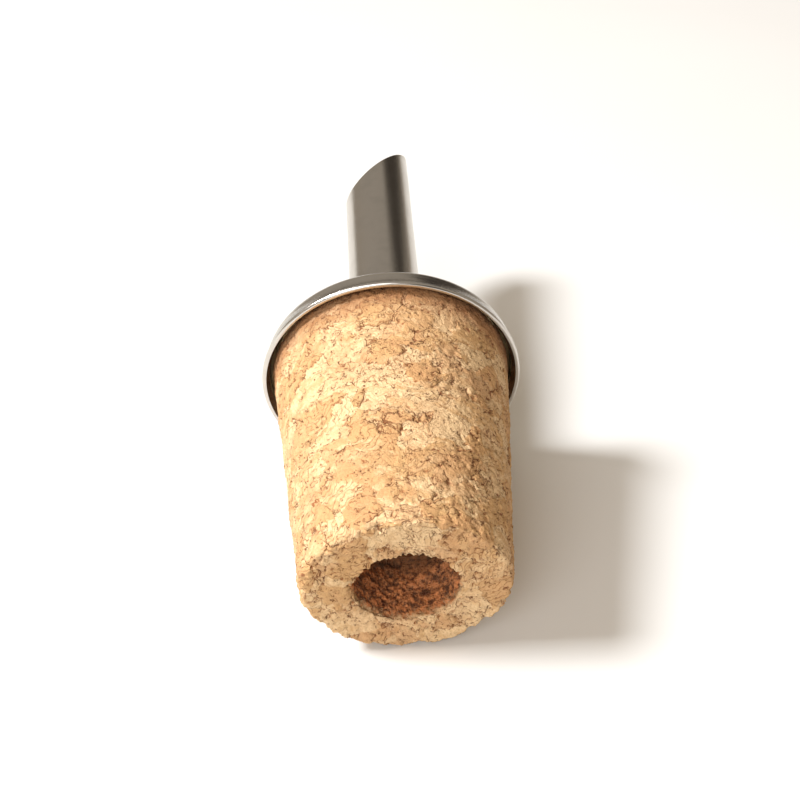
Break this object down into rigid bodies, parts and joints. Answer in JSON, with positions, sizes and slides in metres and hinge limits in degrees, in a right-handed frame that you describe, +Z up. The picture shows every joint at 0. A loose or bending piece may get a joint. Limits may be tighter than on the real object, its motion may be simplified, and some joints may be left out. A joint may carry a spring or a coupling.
{
  "type": "liquor pour spout",
  "caption": "Tapered cork stopper with a pressed steel collar and a slant-cut steel tube that pours from a bottle in a thin stream.",
  "frame": {"origin": "bottom centre of the part's box as it lies on a table, below the middle of its length", "axes": "+Y from the small end of the cork towards the tip of the spout, +Z up from the table, +X to the right seen from the cork's small end; the spout's own axis rises 8.6 degrees above +Y"},
  "size_m": [0.0252, 0.0632, 0.0249],
  "materials": {
    "cork": "agglomerated natural cork, matt, open-pored",
    "steel": "polished stainless steel",
    "braze": "satin filler metal, polished over",
    "glue": "cured clear amber adhesive"
  },
  "bodies": {
    "root": {"cork_stopper": "cork", "collar_cap": "steel", "spout_tube": "steel", "braze_fillet": "braze", "glue_disc": "glue"}
  },
  "joints": []
}
